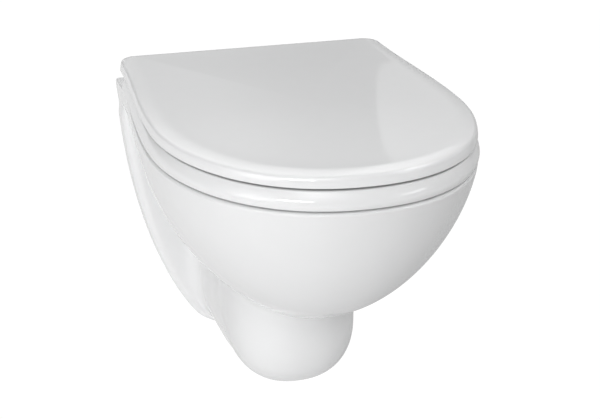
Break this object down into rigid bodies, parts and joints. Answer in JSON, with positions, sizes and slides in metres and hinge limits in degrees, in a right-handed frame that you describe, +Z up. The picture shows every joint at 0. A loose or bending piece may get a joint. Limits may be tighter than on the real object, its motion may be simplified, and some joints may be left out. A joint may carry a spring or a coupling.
{
  "type": "wall hung toilet",
  "caption": "Wall hung toilet pan with a rounded bowl, a trap bulge and a wall flange, closed by a hinged seat and lid.",
  "frame": {"origin": "on the wall face, midway between the two fixing holes", "axes": "+Z up; the wall is the plane Y = 0 and the toilet stands out along -Y; +X to the right for someone facing it"},
  "size_m": [0.36, 0.5048, 0.3856],
  "materials": {
    "china": "glossy white glaze",
    "seat_plastic": "glossy white moulding",
    "hinge_metal": "bright plated",
    "nylon": "satin white nylon",
    "buffer": "matt off-white rubber",
    "fixing_steel": "zinc plated"
  },
  "bodies": {
    "pan": {"pan": "china", "hinge_post_left": "hinge_metal", "hinge_post_right": "hinge_metal", "hinge_pin_left": "hinge_metal", "hinge_pin_right": "hinge_metal", "hinge_pad_left": "buffer", "hinge_pad_right": "buffer", "cone_washer_left": "buffer", "cone_washer_right": "buffer", "wing_nut_left": "nylon", "wing_nut_right": "nylon", "fixing_sleeve_left": "nylon", "fixing_sleeve_right": "nylon", "fixing_washer_left": "fixing_steel", "fixing_washer_right": "fixing_steel", "fixing_nut_left": "fixing_steel", "fixing_nut_right": "fixing_steel", "fixing_cap_left": "nylon", "fixing_cap_right": "nylon"},
    "seat": {"seat": "seat_plastic", "seat_bush_left": "nylon", "seat_bush_right": "nylon", "seat_buffer_front_left": "buffer", "seat_buffer_front_right": "buffer", "seat_buffer_back_left": "buffer", "seat_buffer_back_right": "buffer"},
    "lid": {"lid": "seat_plastic", "lid_bush_inner_left": "nylon", "lid_bush_inner_right": "nylon", "lid_bush_outer_left": "nylon", "lid_bush_outer_right": "nylon", "lid_buffer_front_left": "buffer", "lid_buffer_front_right": "buffer", "lid_buffer_back_left": "buffer", "lid_buffer_back_right": "buffer"}
  },
  "joints": [
    {"name": "seat_hinge", "type": "hinge", "parent": "pan", "child": "seat", "pos_m": [0, -0.048, 0.112], "axis": [-1, 0, 0], "range_deg": [0, 94]},
    {"name": "lid_hinge", "type": "hinge", "parent": "seat", "child": "lid", "pos_m": [0, -0.048, 0.112], "axis": [-1, 0, 0], "range_deg": [0, 94]}
  ]
}
